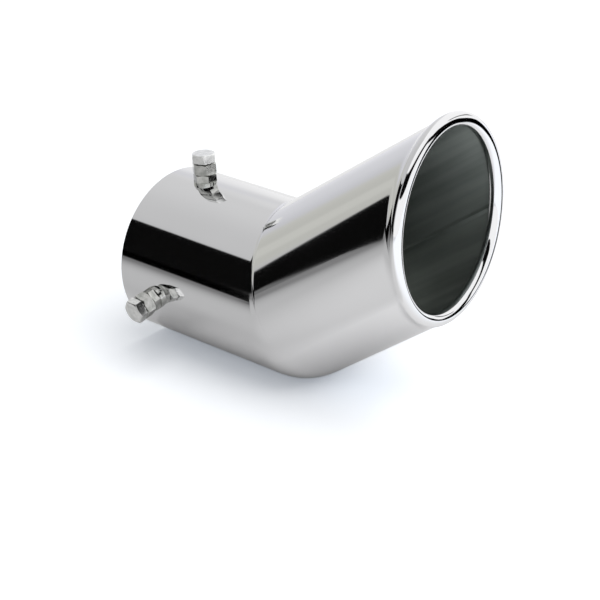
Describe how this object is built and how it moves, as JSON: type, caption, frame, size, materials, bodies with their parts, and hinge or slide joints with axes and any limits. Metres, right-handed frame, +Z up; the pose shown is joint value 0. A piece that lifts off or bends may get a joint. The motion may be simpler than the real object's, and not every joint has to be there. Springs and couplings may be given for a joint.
{
  "type": "exhaust tip",
  "caption": "Angled clamp-on exhaust tip: polished inlet sleeve, welded bend, slash-cut outlet with a rolled lip, and hexagon clamp bolts with lock nuts and weld nuts.",
  "frame": {"origin": "centre of the inlet sleeve's open end", "axes": "+X along the inlet's bore towards the bend, +Z up with the tip lying as pictured, +Y to the side that the outlet leans to"},
  "size_m": [0.1492, 0.1059, 0.1286],
  "materials": {
    "polished_pipe": "mirror polished stainless steel, left dull and grey inside",
    "fastener": "plain bright zinc, slightly duller than the pipes"
  },
  "bodies": {
    "shell": {"inlet_sleeve": "polished_pipe", "outlet_pipe": "polished_pipe", "top_weld_nut": "fastener", "near_weld_nut": "fastener", "far_weld_nut": "fastener", "top_lock_nut": "fastener", "near_lock_nut": "fastener", "far_lock_nut": "fastener"},
    "top_bolt": {"top_clamp_bolt": "fastener"},
    "near_bolt": {"near_clamp_bolt": "fastener"},
    "far_bolt": {"far_clamp_bolt": "fastener"}
  },
  "joints": [
    {"name": "top_bolt_feed", "type": "slide", "parent": "shell", "child": "top_bolt", "axis": [-0.0488, -0.0146, 0.9987], "range_m": [-0.00025, 0.004]},
    {"name": "near_bolt_feed", "type": "slide", "parent": "shell", "child": "near_bolt", "axis": [-0.0401, -0.9754, -0.2169], "range_m": [-0.00025, 0.004]},
    {"name": "far_bolt_feed", "type": "slide", "parent": "shell", "child": "far_bolt", "axis": [0, 0.7517, -0.6595], "range_m": [-0.00025, 0.004]}
  ]
}
